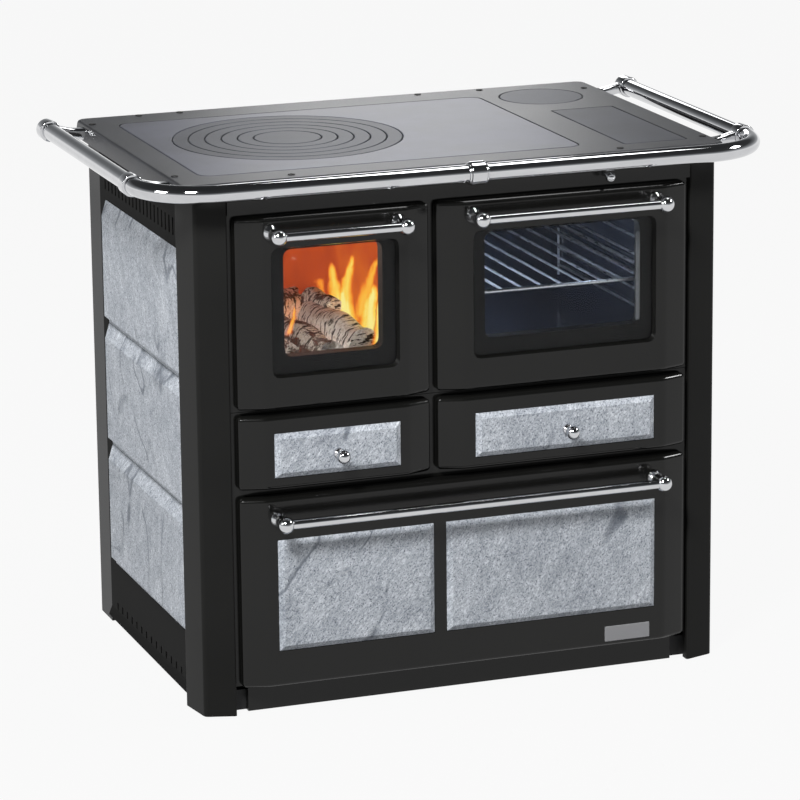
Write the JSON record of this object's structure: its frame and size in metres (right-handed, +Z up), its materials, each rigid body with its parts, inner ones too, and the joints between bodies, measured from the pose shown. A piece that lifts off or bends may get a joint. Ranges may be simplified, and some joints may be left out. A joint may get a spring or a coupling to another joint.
{
  "type": "wood cookstove",
  "caption": "Wood-fired range cooker with a ringed cast hob, glazed fire and oven doors, stone-faced drawers and side panels, and a polished rail.",
  "frame": {"origin": "on the floor, under the middle of the whole part's bounding box", "axes": "+X to the right along the hob's length, +Y to the rear, +Z up; the doors face -Y"},
  "size_m": [1.057, 0.72, 0.8635],
  "materials": {
    "enamel": "glossy anthracite enamel",
    "hob_iron": "satin blackened iron",
    "cooking_iron": "fine-ground grey iron",
    "dark_iron": "black heat-proof paint",
    "soapstone": "honed blue-grey soapstone with pale veins",
    "chrome": "polished",
    "door_glass": "clear ceramic glass",
    "sheet_steel": "plain sheet steel",
    "oven_enamel": "glossy blue-black enamel",
    "firebrick": "rough fired clay"
  },
  "bodies": {
    "stove": {"base_pan": "sheet_steel", "plinth_front": "enamel", "divider_shelf": "sheet_steel", "rear_panel": "enamel", "front_frame": "enamel", "drawer_frame": "enamel", "post_front_left": "enamel", "post_front_right": "enamel", "side_panel_left": "enamel", "side_panel_right": "enamel", "side_stone_left_lower": "soapstone", "side_stone_left_middle": "soapstone", "side_stone_left_upper": "soapstone", "side_stone_right_lower": "soapstone", "side_stone_right_middle": "soapstone", "side_stone_right_upper": "soapstone", "rail_front": "chrome", "rail_side_left": "chrome", "rail_side_right": "chrome", "hob_frame": "hob_iron", "cooking_plate": "cooking_iron", "firebox_shell": "sheet_steel", "firebrick_lining": "firebrick", "grate": "dark_iron", "oven_liner": "oven_enamel", "oven_rack": "chrome", "flue_spigot": "dark_iron", "fire_door_hinge_rod": "sheet_steel", "oven_door_hinge_rod": "sheet_steel"},
    "ring_1": {"hob_ring_1": "cooking_iron"},
    "ring_2": {"hob_ring_2": "cooking_iron"},
    "ring_3": {"hob_ring_3": "cooking_iron"},
    "ring_4": {"hob_ring_4": "cooking_iron"},
    "ring_5": {"hob_ring_5": "cooking_iron"},
    "ring_cover": {"hob_ring_cover": "cooking_iron"},
    "flue_lid": {"flue_cover": "cooking_iron"},
    "sweep_lid": {"sweep_cover": "cooking_iron"},
    "damper": {"damper_rod": "chrome"},
    "fire_door": {"fire_door_frame": "enamel", "fire_door_glass": "door_glass", "fire_door_liner": "dark_iron", "fire_door_handle": "chrome"},
    "oven_door": {"oven_door_frame": "enamel", "oven_door_glass": "door_glass", "oven_door_liner": "dark_iron", "oven_door_handle": "chrome"},
    "ash_drawer": {"ash_drawer_front": "enamel", "ash_drawer_stone": "soapstone", "ash_drawer_knob": "chrome", "ash_drawer_box": "sheet_steel"},
    "warming_drawer": {"warming_drawer_front": "enamel", "warming_drawer_stone": "soapstone", "warming_drawer_knob": "chrome", "warming_drawer_box": "sheet_steel"},
    "wood_drawer": {"wood_drawer_front": "enamel", "wood_drawer_stone_left": "soapstone", "wood_drawer_stone_right": "soapstone", "wood_drawer_handle": "chrome", "wood_drawer_box": "sheet_steel"}
  },
  "joints": [
    {"name": "fire_door_hinge", "type": "hinge", "parent": "stove", "child": "fire_door", "pos_m": [-0.217, -0.2985, 0.504], "axis": [1, 0, 0], "range_deg": [0, 90]},
    {"name": "oven_door_hinge", "type": "hinge", "parent": "stove", "child": "oven_door", "pos_m": [0.164, -0.2985, 0.504], "axis": [1, 0, 0], "range_deg": [0, 90]},
    {"name": "ash_drawer_slide", "type": "slide", "parent": "stove", "child": "ash_drawer", "axis": [0, -1, 0], "range_m": [0, 0.235]},
    {"name": "warming_drawer_slide", "type": "slide", "parent": "stove", "child": "warming_drawer", "axis": [0, -1, 0], "range_m": [0, 0.235]},
    {"name": "wood_drawer_slide", "type": "slide", "parent": "stove", "child": "wood_drawer", "axis": [0, -1, 0], "range_m": [0, 0.4]},
    {"name": "damper_slide", "type": "slide", "parent": "stove", "child": "damper", "axis": [0, -1, 0], "range_m": [0, 0.06]},
    {"name": "ring_1_lift", "type": "slide", "parent": "stove", "child": "ring_1", "axis": [0, 0, 1], "range_m": [0, 0.05]},
    {"name": "ring_2_lift", "type": "slide", "parent": "ring_1", "child": "ring_2", "axis": [0, 0, 1], "range_m": [0, 0.05]},
    {"name": "ring_3_lift", "type": "slide", "parent": "ring_2", "child": "ring_3", "axis": [0, 0, 1], "range_m": [0, 0.05]},
    {"name": "ring_4_lift", "type": "slide", "parent": "ring_3", "child": "ring_4", "axis": [0, 0, 1], "range_m": [0, 0.05]},
    {"name": "ring_5_lift", "type": "slide", "parent": "ring_4", "child": "ring_5", "axis": [0, 0, 1], "range_m": [0, 0.05]},
    {"name": "ring_cover_lift", "type": "slide", "parent": "ring_5", "child": "ring_cover", "axis": [0, 0, 1], "range_m": [0, 0.05]},
    {"name": "flue_lid_lift", "type": "slide", "parent": "stove", "child": "flue_lid", "axis": [0, 0, 1], "range_m": [0, 0.05]},
    {"name": "sweep_lid_lift", "type": "slide", "parent": "stove", "child": "sweep_lid", "axis": [0, 0, 1], "range_m": [0, 0.05]}
  ]
}
